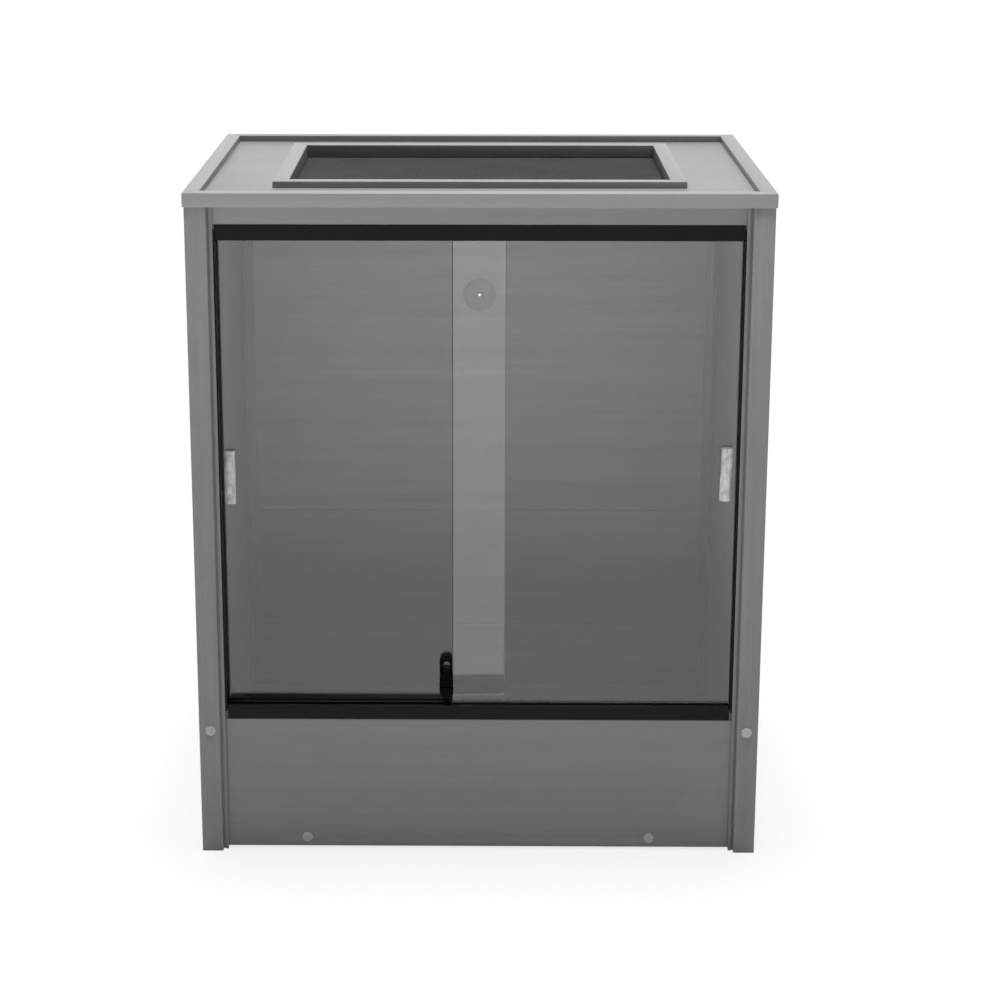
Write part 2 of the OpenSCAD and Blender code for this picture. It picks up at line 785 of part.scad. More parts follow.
module screen_retainer() {
    color(track_black) translate([0, 0, panel_z - mesh_t - retainer_t]) difference() {
        translate([-mesh_w/2, -mesh_d/2, 0]) cube([mesh_w, mesh_d, retainer_t]);
        translate([-mesh_clear_w/2, -mesh_clear_d/2, -cut])
            cube([mesh_clear_w, mesh_clear_d, retainer_t + 2*cut]);
        at_retainer_screws() translate([0, 0, -cut])
            cylinder(d = retainer_screw_d + 2*screw_fit, h = retainer_t + 2*cut);
    }
}

module screen_screws() {
    color("silver") translate([0, 0, panel_z - mesh_t - retainer_t]) at_retainer_screws() {
        cylinder(d = retainer_screw_d, h = retainer_screw_l);
        translate([0, 0, -1.2]) cylinder(d1 = retainer_head_d - 1.6, d2 = retainer_head_d, h = 1.2);
    }
}

// ---- Cable port ------------------------------------------------------------

// A moulded grommet turned about its axis: a crowned cap inside the cabinet with a
// dimple round the small hole, a barrel through the wall and a snap rim behind it
module cable_grommet() {
    cap_r = port_flange_d/2;
    barrel_r = port_barrel_d/2;
    hole_r = port_hole_d/2;
    snap_r = barrel_r + 2;
    bore_r = barrel_r - 2.5;
    dimple = 0.9;
    membrane_front = dimple - port_flange_t;
    slit = [1.4, 11, 0.8];
    color(composite) translate([0, wall_y, port_z]) rotate([-90, 0, 0]) difference() {
        rotate_extrude($fn = 96)
            polygon([[hole_r, membrane_front], [hole_r + 2, membrane_front],
                     [hole_r + 4, -port_flange_t], [cap_r - 4, 0.2 - port_flange_t],
                     [cap_r - 1, 1 - port_flange_t], [cap_r, 0], [barrel_r, 0],
                     [barrel_r, board_t], [snap_r, board_t], [snap_r - 1, board_t + 1.6],
                     [bore_r, board_t + 1.6], [bore_r, membrane_front + port_membrane_t],
                     [hole_r, membrane_front + port_membrane_t]]);
        // thumbnail slit near the cap's edge
        translate([cap_r - 3.6, -slit[1]/2, -port_flange_t - cut])
            cube([slit[0], slit[1], slit[2] + cut + 0.4]);
    }
}

// ---- Fasteners -------------------------------------------------------------

module post_screws() {
    color("silver") {
        at_post_screws() screw();
        at_rear() at_post_screws() screw();
    }
}

module bearer_screws() {
    color("silver") {
        at_bearer_screws() screw();
        at_rear() at_bearer_screws() screw();
    }
}

module screw_caps_front() {
    color(composite_pale) {
        at_post_screws() cover_cap();
        at_bearer_screws() cover_cap();
    }
}

module screw_caps_rear() {
    color(composite_pale) at_rear() {
        at_post_screws() cover_cap();
        at_bearer_screws() cover_cap();
    }
}

// ---- Drawing ---------------------------------------------------------------

post_front_left();
post_front_right();
post_rear_left();
post_rear_right();
base_board();
header_board();
lower_track();
upper_track();
jamb_strip_left();
jamb_strip_right();
glass_left();
glass_right();
pull_left();
pull_right();
catch_housing();
catch_bolt();
back_board_lower();
back_board_middle();
back_panel_upper();
left_board_lower();
left_board_middle();
left_panel_upper();
right_board_lower();
right_board_middle();
right_panel_upper();
floor_bearer_left();
floor_bearer_right();
floor_panel();
top_panel();
cap_front();
cap_rear();
cap_left();
cap_right();
screen_trim_front();
screen_trim_rear();
screen_trim_left();
screen_trim_right();
screen_mesh();
screen_retainer();
screen_screws();
cable_grommet();
post_screws();
bearer_screws();
screw_caps_front();
screw_caps_rear();
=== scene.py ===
# %% [markdown]
# # A reptile terrarium with sliding glass doors
#
# The cabinet is knocked together from extruded composite boards, black plastic tracks and
# two panes of glass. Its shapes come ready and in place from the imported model, so this
# script mostly gives each piece the surface of the stuff it is made of. It also eases the
# edges, and makes anew the two things that the model only hints at: the wire cloth in the
# top and the small door catch.

# %% Load the cabinet
import math

import bmesh
import bpy
import numpy as np
from mathutils import Euler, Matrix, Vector


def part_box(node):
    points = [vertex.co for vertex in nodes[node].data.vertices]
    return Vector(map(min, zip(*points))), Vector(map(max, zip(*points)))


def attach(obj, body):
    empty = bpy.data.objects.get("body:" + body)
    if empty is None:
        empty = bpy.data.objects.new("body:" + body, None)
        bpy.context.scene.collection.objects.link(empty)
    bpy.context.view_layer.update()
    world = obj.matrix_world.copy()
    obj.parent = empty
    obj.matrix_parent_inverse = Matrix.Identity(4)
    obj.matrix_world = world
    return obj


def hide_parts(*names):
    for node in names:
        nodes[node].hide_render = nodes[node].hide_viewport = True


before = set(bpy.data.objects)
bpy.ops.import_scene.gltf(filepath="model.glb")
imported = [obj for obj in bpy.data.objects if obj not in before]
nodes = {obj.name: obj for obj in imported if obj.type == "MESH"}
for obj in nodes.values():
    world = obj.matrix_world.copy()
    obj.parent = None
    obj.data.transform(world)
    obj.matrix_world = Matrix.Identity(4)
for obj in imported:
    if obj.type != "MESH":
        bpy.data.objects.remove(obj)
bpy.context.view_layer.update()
mm = 0.001


def put(name, data):
    """Makes an object of that data and puts it in the scene."""
    thing = bpy.data.objects.new(name, data)
    bpy.context.scene.collection.objects.link(thing)
    return thing


# %% [markdown]
# ## Camera
#
# The picture is taken from a little above the cabinet's top and about 2.6 m in front of it.
# Lens, height and tilt were found by fitting the cabinet's straight edges, so they are
# kept as plain numbers here. A small shift keeps the uprights from leaning too much.

# %% Place the camera
camera_at = Vector((2.1, -2631.6, 1108.2)) * mm
camera_pitch = 15.125      # degrees down
camera_yaw = -0.568        # degrees to the right
lens = 85.32               # mm, on a sensor 36 mm wide
frame_shift = (0.0417, -0.05)

camera = put("camera", bpy.data.cameras.new("camera"))
camera.data.sensor_width = 36
camera.data.lens = lens
camera.data.shift_x, camera.data.shift_y = frame_shift
camera.data.clip_end = 100
camera.location = camera_at
camera.rotation_euler = Euler((math.radians(90 - camera_pitch), 0, math.radians(-camera_yaw)))
bpy.context.scene.camera = camera
print("camera at", [round(v, 3) for v in camera.location])

# %% [markdown]
# ## Helpers for materials
#
# Every finish below is a Principled BSDF whose inputs come from patterns. These helpers
# keep that short: one adds a node and sets its inputs, and a few stand for a sum, a noise or
# a change of range. A pattern is a node group, so several materials can share it. The last
# helper puts a material on nodes.

# %% Material helpers
def add(tree, kind, inputs=None, **settings):
    """Adds a node of that kind to a tree. Settings are its properties; inputs are values,
    or sockets to be linked, by the input's name or number."""
    node = tree.nodes.new(kind)
    for name, value in settings.items():
        setattr(node, name, value)
    for key, value in (inputs or {}).items():
        if isinstance(value, bpy.types.NodeSocket):
            tree.links.new(value, node.inputs[key])
        else:
            node.inputs[key].default_value = value
    return node


def math_node(tree, operation, *values):
    """One sum on numbers; returns its result."""
    return add(tree, "ShaderNodeMath", dict(enumerate(values)), operation=operation).outputs[0]


def vector_node(tree, operation, *values):
    """One sum on vectors; returns its result."""
    return add(tree, "ShaderNodeVectorMath", dict(enumerate(values)),
               operation=operation).outputs[0]


def scaled(tree, vector, by):
    """A vector or a colour times a number."""
    return add(tree, "ShaderNodeVectorMath", {"Vector": vector, "Scale": by},
               operation="SCALE").outputs[0]


def noise(tree, at, scale, detail, roughness=0.5):
    """Noise between 0 and 1 at those coordinates, with scale features a metre."""
    return add(tree, "ShaderNodeTexNoise", {"Vector": at, "Scale": scale, "Detail": detail,
                                            "Roughness": roughness}).outputs["Fac"]


def spread(tree, value, low, high, start=0.0, end=1.0):
    """Takes a value that runs from start to end to one that runs from low to high."""
    return add(tree, "ShaderNodeMapRange", {"Value": value, "From Min": start, "From Max": end,
                                            "To Min": low, "To Max": high}).outputs[0]


def highest(tree, *values):
    """The highest of some numbers, such as kinds of ray that count alike."""
    top = values[0]
    for value in values[1:]:
        top = math_node(tree, "MAXIMUM", top, value)
    return top


def material(name, **shader):
    """Starts a material: its tree, and its Principled BSDF with plain values set on it."""
    mat = bpy.data.materials.new(name)
    mat.use_nodes = True
    tree = mat.node_tree
    principled = tree.nodes["Principled BSDF"]
    for socket, value in shader.items():
        principled.inputs[socket.replace("_", " ")].default_value = value
    return mat, tree, principled


def grey(value):
    """A neutral colour of that brightness. The cabinet is finished in greys."""
    return (value, value, value, 1.0)


def pattern_group(name, *inputs):
    """Opens a node group for a pattern. It has those inputs (name, kind, first value), and
    gives a colour, a roughness and a height. Returns the group, its inputs' values and the
    object's own coordinates."""
    group = bpy.data.node_groups.new(name, "ShaderNodeTree")
    face = group.interface
    for socket, kind, value in inputs:
        face.new_socket(socket, in_out="INPUT",
                        socket_type="NodeSocket" + kind).default_value = value
    for socket, kind in (("Colour", "Color"), ("Roughness", "Float"), ("Height", "Float")):
        face.new_socket(socket, in_out="OUTPUT", socket_type="NodeSocket" + kind)
    given = add(group, "NodeGroupInput").outputs
    return group, given, add(group, "ShaderNodeTexCoord").outputs["Object"]


def stretched(group, place, run, along, across):
    """Coordinates that count along a metre in the direction of the run and across a metre
    square to it. Many across and few along turn the blobs of a noise into streaks."""
    stretch = vector_node(group, "ADD", scaled(group, run, along - across), (across,) * 3)
    return vector_node(group, "MULTIPLY", place, stretch)


def patterned(name, group, values, relief, depth, shine):
    """A material with a pattern's colour and roughness, and its height as bumps."""
    mat, tree, principled = material(name, Specular_IOR_Level=shine)
    pattern = add(tree, "ShaderNodeGroup", values, node_tree=group).outputs
    bump = add(tree, "ShaderNodeBump",
               {"Height": pattern["Height"], "Strength": relief, "Distance": depth})
    tree.links.new(pattern["Colour"], principled.inputs["Base Color"])
    tree.links.new(pattern["Roughness"], principled.inputs["Roughness"])
    tree.links.new(bump.outputs["Normal"], principled.inputs["Normal"])
    return mat


def finish(names, mat):
    """Puts a material on every slot of these nodes."""
    for name in names:
        for slot in nodes[name].material_slots:
            slot.material = mat
    print(mat.name + ":", *names)


print("helpers ready")

# %% [markdown]
# ## Extruded composite
#
# The boards, posts and trim are pressed through a die from wood flour and plastic. That
# leaves fine streaks along the length, slower bands of lighter and darker stuff, a faint
# mottle, and short pale fibres. All of these run along the piece, so one node group draws
# them from stretched noise, and each material says which way its pieces run.

# %% Composite pattern
def composite_group():
    """Streaks, bands, mottle and fibres are the same noise, stretched more or less."""
    group, given, place = pattern_group(
        "extruded composite", ("Colour", "Color", grey(0.25)), ("Run", "Vector", (1, 0, 0)),
        ("Streaks", "Float", 1.0), ("Roughness", "Float", 0.5))

    def streaks(along, across, detail, seed):
        """Noise with features 1/along metres long and 1/across metres wide."""
        at = stretched(group, place, given["Run"], along, across)
        at = vector_node(group, "ADD", at, (seed, seed * 1.7, seed * 2.3))
        return noise(group, at, 1.0, detail, 0.6)

    fine = streaks(7, 620, 3, 3.1)
    bands = streaks(1.3, 55, 2, 7.7)
    mottle = streaks(32, 70, 3, 1.9)
    fibres = spread(group, streaks(190, 1300, 1, 5.3), 0.0, 1.0, start=0.66, end=0.74)
    grain = streaks(260, 700, 2, 9.1)

    def swing(pattern, by):
        """The pattern's part above and below its middle, times by."""
        return math_node(group, "MULTIPLY", math_node(group, "SUBTRACT", pattern, 0.5), by)

    tone = math_node(group, "ADD", swing(fine, 0.16), swing(bands, 0.22))
    tone = math_node(group, "ADD", tone, swing(mottle, 0.13))
    tone = math_node(group, "ADD", tone, math_node(group, "MULTIPLY", fibres, 0.07))
    tone = math_node(group, "MULTIPLY", tone, given["Streaks"])
    colour = scaled(group, given["Colour"], math_node(group, "ADD", tone, 1.0))

    rough = math_node(group, "ADD", given["Roughness"], swing(mottle, 0.12))
    rough = math_node(group, "ADD", rough, swing(fine, 0.10))
    height = math_node(group, "ADD", math_node(group, "MULTIPLY", fine, 0.6),
                       math_node(group, "MULTIPLY", grain, 0.4))
    add(group, "NodeGroupOutput", {"Colour": colour, "Roughness": rough, "Height": height})
    return group


composite = composite_group()
print("pattern:", composite.name)


# %% Composite materials
def composite_material(name, brightness, run, streaks):
    """Composite whose die ran along that direction. Streaks of 1 are the usual strength."""
    return patterned(name, composite, {"Colour": grey(brightness), "Run": run,
                                       "Streaks": streaks, "Roughness": 0.42},
                     relief=0.12, depth=0.4 * mm, shine=0.5)


along_x, along_y, upright = (1, 0, 0), (0, 1, 0), (0, 0, 1)

posts = [n for n in nodes if n.startswith("post_") and n != "post_screws"]
walls = {side: [n for n in nodes if n.startswith((side + "_board", side + "_panel"))]
         for side in ("back", "left", "right")}
trims_across = ["cap_front", "cap_rear", "screen_trim_front", "screen_trim_rear"]
trims_deep = ["cap_left", "cap_right", "screen_trim_left", "screen_trim_right"]
for name, members, brightness, run, streaks in (
    ("post composite", posts, 0.245, upright, 1.7),
    ("front board composite", ["base_board", "header_board"], 0.25, along_x, 1.0),
    # The walls are lighter than the same composite on the posts: painted light, for the light
    # that reaches the upper walls inside the cabinet.
    ("wall composite, across, brightened as painted light", walls["back"], 0.34, along_x, 1.6),
    ("wall composite, front to back, brightened as painted light", walls["left"] + walls["right"], 0.34, along_y, 1.6),
    # The floor panel is much darker than the same composite elsewhere: painted shade on the floor
    # inside the cabinet.
    ("floor panel composite, darkened as painted shade", ["floor_panel"], 0.12, along_x, 1.5),
    ("bearer composite", ["floor_bearer_left", "floor_bearer_right"], 0.25, along_y, 1.0),
    ("top panel composite", ["top_panel"], 0.27, along_x, 1.1),
    ("trim composite, across", trims_across, 0.32, along_x, 0.8),
    ("trim composite, front to back", trims_deep, 0.32, along_y, 0.8),
):
    finish(members, composite_material(name, brightness, run, streaks))

# %% [markdown]
# ## Black plastic
#
# The tracks and the jamb strips are black extrusions with faint die lines, and the catch
# is moulded, with a finer and rougher skin. Both patterns come from one group: lines along
# the run, and a fine moulded grain.

# %% Plastic pattern and materials
def plastic_group():
    """Die lines are noise stretched along the run, grain is fine even noise."""
    group, given, place = pattern_group(
        "plastic skin", ("Colour", "Color", grey(0.02)), ("Run", "Vector", (1, 0, 0)),
        ("Lines", "Float", 1.0), ("Grain size", "Float", 900.0), ("Roughness", "Float", 0.4))
    at = stretched(group, place, given["Run"], 5, 885)
    lines = noise(group, at, 1.0, 2.0)
    grain = noise(group, place, given["Grain size"], 2.0)
    smears = noise(group, place, 24.0, 4.0)
    lined = math_node(group, "MULTIPLY", lines, given["Lines"])
    tone = math_node(group, "ADD", math_node(group, "MULTIPLY", smears, 0.5),
                     math_node(group, "ADD", math_node(group, "MULTIPLY", lined, 0.4), 0.6))
    colour = scaled(group, given["Colour"], tone)
    uneven = math_node(group, "MULTIPLY", math_node(group, "SUBTRACT", smears, 0.5), 0.25)
    rough = math_node(group, "ADD", given["Roughness"], uneven)
    height = math_node(group, "ADD", math_node(group, "MULTIPLY", lined, 0.7),
                       math_node(group, "MULTIPLY", grain, 0.5))
    add(group, "NodeGroupOutput", {"Colour": colour, "Roughness": rough, "Height": height})
    return group


plastic = plastic_group()


def plastic_material(name, brightness, run=along_x, lines=0.0, grain=900.0, roughness=0.4,
                     shine=0.12):
    """Plastic with a moulded grain and, where lines is above 0, die lines along its run."""
    return patterned(name, plastic, {"Colour": grey(brightness), "Run": run, "Lines": lines,
                                     "Grain size": grain, "Roughness": roughness},
                     relief=0.1, depth=0.3 * mm, shine=shine)


finish(["lower_track", "upper_track", "screen_retainer"],
       plastic_material("black track", 0.008, along_x, lines=1.0))
finish(["jamb_strip_left", "jamb_strip_right"],
       plastic_material("black jamb strip", 0.008, upright, lines=1.0))
catch_moulding = plastic_material("catch moulding", 0.003, grain=1500.0, roughness=0.35,
                                  shine=0.04)
finish(["catch_housing"], catch_moulding)
bolt_moulding = plastic_material("bolt moulding", 0.002, grain=1500.0, roughness=0.5,
                                 shine=0.03)
finish(["catch_bolt"], bolt_moulding)
finish(["cable_grommet"],
       plastic_material("grommet moulding", 0.25, roughness=0.5, shine=0.4))
finish(["screw_caps_front", "screw_caps_rear"],
       plastic_material("screw cap moulding", 0.62, grain=1400.0, roughness=0.45, shine=0.4))

# %% [markdown]
# ## Screws
#
# Zinc plated steel: metallic, and a little uneven in colour and polish.

# %% Screw material
def zinc_material():
    """Grey metal whose brightness and polish vary together in small clouds."""
    mat, tree, principled = material("zinc plate", Metallic=1.0)
    place = add(tree, "ShaderNodeTexCoord").outputs["Object"]
    patchiness = noise(tree, place, 300.0, 3.0)
    tree.links.new(spread(tree, patchiness, 0.42, 0.66), principled.inputs["Base Color"])
    tree.links.new(spread(tree, patchiness, 0.42, 0.28), principled.inputs["Roughness"])
    return mat


finish(["post_screws", "bearer_screws", "screen_screws"], zinc_material())

# %% [markdown]
# ## Glass
#
# Each pane is a solid slab, so a Principled BSDF with full transmission bends and mirrors
# light as real glass does: one pane mirrors a little of the bright room, and where the two
# overlap they mirror twice as much. Their index is a little above the usual 1.52, to mirror
# as strongly as the real panes seem to. A path tracer hardly finds light through a slab, so
# rays that carry light to what is behind it pass straight through, slightly dimmed.

# %% Glass and clear acrylic
def clear_material(name, colour, dimmed, roughness, transmission, index, patchiness=0.0):
    """Transmissive for what the eye sees, and a plain dimmed hole for light and bounces.
    Its last argument is how much darker its upright patches are: painted reflection, standing in
    for the pulls' mottled glints."""
    mat, tree, principled = material(
        name, Base_Color=grey(colour), Transmission_Weight=transmission, Metallic=0.0, IOR=index)
    place = add(tree, "ShaderNodeTexCoord").outputs["Object"]
    film = spread(tree, noise(tree, place, 14.0, 3.0), roughness, roughness * 1.6 + 0.004)
    tree.links.new(film, principled.inputs["Roughness"])
    # Upright darker patches in the base colour: painted reflection, for the pulls' mottled
    # glints.
    if patchiness:
        long_way = vector_node(tree, "MULTIPLY", place, (1.0, 1.0, 0.45))
        painted_reflection_patches = noise(tree, long_way, 230.0, 3.0)
        tone = spread(tree, painted_reflection_patches, colour * (1 - patchiness), colour, start=0.35, end=0.62)
        tree.links.new(tone, principled.inputs["Base Color"])
    ray = add(tree, "ShaderNodeLightPath").outputs
    carries = highest(tree, ray["Is Shadow Ray"], ray["Is Diffuse Ray"])
    hole = add(tree, "ShaderNodeBsdfTransparent", {"Color": grey(dimmed)}).outputs[0]
    mix = add(tree, "ShaderNodeMixShader", {0: carries, 1: principled.outputs[0], 2: hole})
    tree.links.new(mix.outputs[0], tree.nodes["Material Output"].inputs["Surface"])
    return mat


finish(["glass_left", "glass_right"],
       clear_material("pane glass", 0.98, 0.96, roughness=0.0, transmission=1.0, index=1.62))
finish(["pull_left", "pull_right"],
       clear_material("clear acrylic", 0.98, 0.85, roughness=0.25, transmission=0.35,
                      index=1.49, patchiness=0.42))

# %% [markdown]
# ## Woven screen
#
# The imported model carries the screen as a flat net, so that it keeps the right place and
# stiffness. The real one is fine wire cloth. Every wire is a thin three-sided tube that
# passes over one crossing wire and under the next, which takes only one ring of points
# at each crossing. Geometry is worth it here, because light falls through the openings.

# %% Weave the screen
def woven_wires(name, count, crossings, span, reach, run_is_x, centre, radius, lift):
    """Wires k = 0..count-1 lie across span; on each, point i sits at reach * i / crossings
    along the run and at height lift * (-1)**(i + k + phase). A triangle of that radius
    is swept through the points, and its two ends are closed."""
    k, i, corner = np.meshgrid(np.arange(count), np.arange(crossings + 1), np.arange(3),
                               indexing="ij")
    along = (i / crossings - 0.5) * reach
    aside = ((k + 0.5) / count - 0.5) * span
    phase = 0 if run_is_x else 1
    up = lift * np.where((i + k + phase) % 2 == 0, 1.0, -1.0)
    turn = 2 * np.pi * corner / 3 + np.pi / 2
    aside = aside + radius * np.cos(turn)
    up = up + radius * np.sin(turn)
    x, y = (along, aside) if run_is_x else (aside, along)
    points = np.stack([x + centre[0], y + centre[1], up + centre[2]], axis=-1).reshape(-1, 3)

    first = (k[:, :-1] * (crossings + 1) + i[:, :-1]) * 3
    here, there = corner[:, :-1], (corner[:, :-1] + 1) % 3
    quads = np.stack([first + here, first + 3 + here, first + 3 + there, first + there], axis=-1)
    if not run_is_x:
        quads = quads[..., ::-1]
    quads = quads.reshape(-1, 4)
    start = (np.arange(count) * (crossings + 1) * 3)[:, None]
    caps = np.concatenate([start + [0, 1, 2], start + crossings * 3 + [2, 1, 0]])
    if not run_is_x:
        caps = caps[:, ::-1]
    mesh = bpy.data.meshes.new(name)
    mesh.from_pydata(points.tolist(), [], quads.tolist() + caps.tolist())
    mesh.update()
    return put(name, mesh)


screen_low, screen_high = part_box("screen_mesh")
screen_size = screen_high - screen_low
screen_middle = (screen_low + screen_high) / 2
wire_pitch = 2.0 * mm
wire_radius = 0.46 * mm
wire_lift = 0.2 * mm
wires_x = round(screen_size.x / wire_pitch)      # wires side by side along the width
wires_y = round(screen_size.y / wire_pitch)
across = woven_wires("screen_wires_across", wires_y, wires_x, screen_size.y - wire_pitch,
                     screen_size.x, True, screen_middle, wire_radius, wire_lift)
deep = woven_wires("screen_wires_deep", wires_x, wires_y, screen_size.x - wire_pitch,
                   screen_size.y, False, screen_middle, wire_radius, wire_lift)
coated_wire = plastic_material("coated wire", 0.08, grain=2500.0, roughness=0.4, shine=0.4)
for wires in (across, deep):
    wires.data.materials.append(coated_wire)
    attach(wires, "cabinet")
    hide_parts("screen_mesh")
print("wires:", wires_y, "across and", wires_x, "deep, faces each:",
      len(across.data.polygons), len(deep.data.polygons))

# %% [markdown]
# ## Eased edges
#
# Nothing here ends in a knife edge: extruded corners come out of the die slightly round,
# and the glass has its sharp arrises ground off. That little roundness is what draws the
# thin bright and dark lines along the real edges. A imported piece's mesh has to stay as it
# is, so each piece gets a copy that stands in for it, and a Bevel modifier rounds every
# sharp edge of the copy. Ground glass is dull, so the panes' new faces get a second finish.


def eased(names, width, body="cabinet", segments=2, ground=None):
    """Copies pieces, joins their loose triangles, melts flat neighbours together and
    rounds each edge sharper than 30 degrees by that width. One segment gives a flat
    chamfer; more give a round that is shaded smooth. Ground is the chamfers' material."""
    for name in names:
        net = bmesh.new()
        net.from_mesh(nodes[name].data)
        bmesh.ops.remove_doubles(net, verts=net.verts, dist=1e-6)
        bmesh.ops.dissolve_limit(net, angle_limit=math.radians(0.5), verts=net.verts,
                                 edges=net.edges)
        mesh = bpy.data.meshes.new(name + "_eased")
        net.to_mesh(mesh)
        net.free()
        if segments > 1:
            mesh.shade_smooth()
        mesh.materials.append(nodes[name].material_slots[0].material)
        piece = put(name + "_eased", mesh)
        bevel = piece.modifiers.new("eased", "BEVEL")
        bevel.width = width
        bevel.segments = segments
        bevel.limit_method = "ANGLE"
        bevel.angle_limit = math.radians(30)
        bevel.harden_normals = segments > 1
        if ground:
            mesh.materials.append(ground)
            bevel.material = 1
        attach(piece, body)
        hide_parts(name)
    print("eased by", width / mm, "mm:", *names)


def ground_edge_painted_dark():
    """The arris of a pane after the wheel: dull and fine grained. Its dark colour is painted
    shade, for the dark lines along the panes' edges.
    """
    mat, tree, principled = material("ground glass edge, painted shade", Specular_IOR_Level=0.5)
    place = add(tree, "ShaderNodeTexCoord").outputs["Object"]
    grit = noise(tree, place, 1800.0, 2.0)
    # Dark base colour: painted shade, for the dark lines along the panes' edges.
    tree.links.new(spread(tree, grit, 0.06, 0.14), principled.inputs["Base Color"])
    tree.links.new(spread(tree, grit, 0.4, 0.6), principled.inputs["Roughness"])
    return mat


eased(trims_across + trims_deep, 0.7 * mm)
eased(posts, 0.6 * mm)
# The upper back panel's face has a hole, and stays even only when it is shaded flat.
eased([n for side in walls for n in walls[side] if n != "back_panel_upper"], 0.9 * mm)
eased(["back_panel_upper"], 0.9 * mm, segments=1)
eased(["base_board", "header_board", "top_panel"], 0.5 * mm)
eased(["lower_track", "upper_track"], 0.4 * mm)
for side in ("left", "right"):
    door = side + "_door"
    eased(["glass_" + side], 0.8 * mm, door, segments=1, ground=ground_edge_painted_dark())
    eased(["pull_" + side], 0.8 * mm, door, segments=3)
eased(["screw_caps_front", "screw_caps_rear"], 0.4 * mm)

# %% [markdown]
# ## Door catch
#
# The catch is two small mouldings on the front pane's free edge. The body has a rounded toe
# in front, and behind the pane a plate with a keyhole and a flat bar, which keeps the two
# panes apart. The slide has a thumb pad in front and a flange behind the plate. The flange
# goes in through the keyhole's round head and is then caught behind its narrow neck. The
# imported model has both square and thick. Each moulding is skinned from rows of points here:
# an outline is repeated in depth or height, a little smaller where the edge is rounded.

# %% Skin and outlines
def skin(rows, wrap=False):
    """Joins neighbouring points of neighbouring rows with quads. Wrap joins the last row
    to the first; otherwise a flat face closes each end."""
    count, around = rows.shape[:2]
    r, k = np.meshgrid(np.arange(count if wrap else count - 1), np.arange(around), indexing="ij")
    here, there = r * around, (r + 1) % count * around
    k2 = (k + 1) % around
    faces = np.stack([here + k, there + k, there + k2, here + k2], axis=-1)
    faces = faces.reshape(-1, 4).tolist()
    if not wrap:
        faces += [list(range(around)), list(range((count - 1) * around, count * around))]
    return rows.reshape(-1, 3), faces


def moulding(name, skins, mat, body, node):
    """Puts skins in one mesh, turns their faces outwards, and stands it in for a node."""
    points, faces, start = [], [], 0
    for skin_points, skin_faces in skins:
        points.append(skin_points)
        faces += [[start + v for v in face] for face in skin_faces]
        start += len(skin_points)
    mesh = bpy.data.meshes.new(name)
    mesh.from_pydata(np.concatenate(points).tolist(), [], faces)
    net = bmesh.new()
    net.from_mesh(mesh)
    bmesh.ops.recalc_face_normals(net, faces=net.faces)
    net.to_mesh(mesh)
    net.free()
    mesh.shade_smooth()
    mesh.set_sharp_from_angle(angle=math.radians(35))
    mesh.materials.append(mat)
    piece = put(name, mesh)
    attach(piece, body)
    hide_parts(node)
    print(name, "faces:", len(mesh.polygons))


def obround(middle, low, high, half, inset=0.0, points=32):
    """A half circle over the top and one under the bottom, seen from the front: (x, z)."""
    half, low, high = half - inset, low + inset, high - inset
    turn = np.pi * (np.arange(points) + 0.5) / points
    top = np.stack([middle + half * np.cos(turn), high - half + half * np.sin(turn)], axis=-1)
    under = np.stack([middle - half * np.cos(turn), low + half - half * np.sin(turn)], axis=-1)
    return np.concatenate([top, under])


def keyhole(middle, low, head, head_radius, half, grow=0.0, points=32):
    """A round head over a straight slot. The head's arc takes half of the points; the rest
    go down one side, along the bottom and up the other side."""
    head_radius, half, low = head_radius + grow, half + grow, low - grow
    dip = np.arccos(half / head_radius)
    turn = -dip + (np.pi + 2 * dip) * np.arange(points) / (points - 1)
    top = np.stack([middle + head_radius * np.cos(turn), head + head_radius * np.sin(turn)],
                   axis=-1)
    neck = head - head_radius * np.sin(dip)
    down = points * 5 // 16
    along = points - 2 * down
    drop = low + (neck - low) * (1 - np.arange(1, down + 1) / down)
    left = np.stack([np.full(down, middle - half), drop], axis=-1)
    floor_x = middle - half + 2 * half * np.arange(1, along + 1) / (along + 1)
    under = np.stack([floor_x, np.full(along, low)], axis=-1)
    right = np.stack([np.full(down, middle + half), drop[::-1]], axis=-1)
    return np.concatenate([top, left, under, right])


def at_depth(outline, y):
    """Stands an (x, z) outline up at that depth."""
    return np.stack([outline[:, 0], np.full(len(outline), y), outline[:, 1]], axis=-1)


print("skins ready")

# %% Catch body
catch_low, catch_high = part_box("catch_housing")
bolt_low, bolt_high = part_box("catch_bolt")
catch_middle = (bolt_low.x + bolt_high.x) / 2
catch_half = catch_middle - catch_low.x
catch_front, catch_back = catch_low.y, catch_high.y
pane_low, pane_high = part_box("glass_right")
gap = 0.1 * mm                             # between the body and the pane
edge = 0.3 * mm                            # what a moulded edge is rounded by
toe_back = pane_low.y - gap
plate_front = pane_high.y + gap
toe_top = catch_low.z + 12.5 * mm
key_neck = 3.0 * mm                        # half the slot's width
key_low = bolt_high.z - 14.7 * mm
key_head = catch_high.z - 10.5 * mm        # height of the head's middle
key_radius = 4.2 * mm


def whole(inset):
    """The plate's outline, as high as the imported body."""
    return obround(catch_middle, catch_low.z, catch_high.z, catch_half, inset)


def key_slot(grow):
    """The keyhole's outline, wider by grow where its edge is rounded."""
    return keyhole(catch_middle, key_low, key_head, key_radius, key_neck, grow)


def toe(inset):
    """The body under the thumb pad: the outline's lower end with a flat top."""
    line = obround(catch_middle, catch_low.z, catch_low.z + 28 * mm, catch_half, inset)
    line[:, 1] = np.minimum(line[:, 1], toe_top - inset)
    return line


def block(middle, half, low, high, front, back):
    """A rod with slightly cut corners, standing between two heights."""
    cut = min(edge, half / 3)
    plan = np.array([[-half, back], [half, back], [half, front + cut], [half - cut, front],
                     [-half + cut, front], [-half, front + cut]])
    return np.stack([
        np.column_stack([middle + plan[:, 0] * (1 - inset / half), plan[:, 1], np.full(6, z)])
        for z, inset in ((low, cut), (low + cut, 0.0), (high - cut, 0.0), (high, cut))])


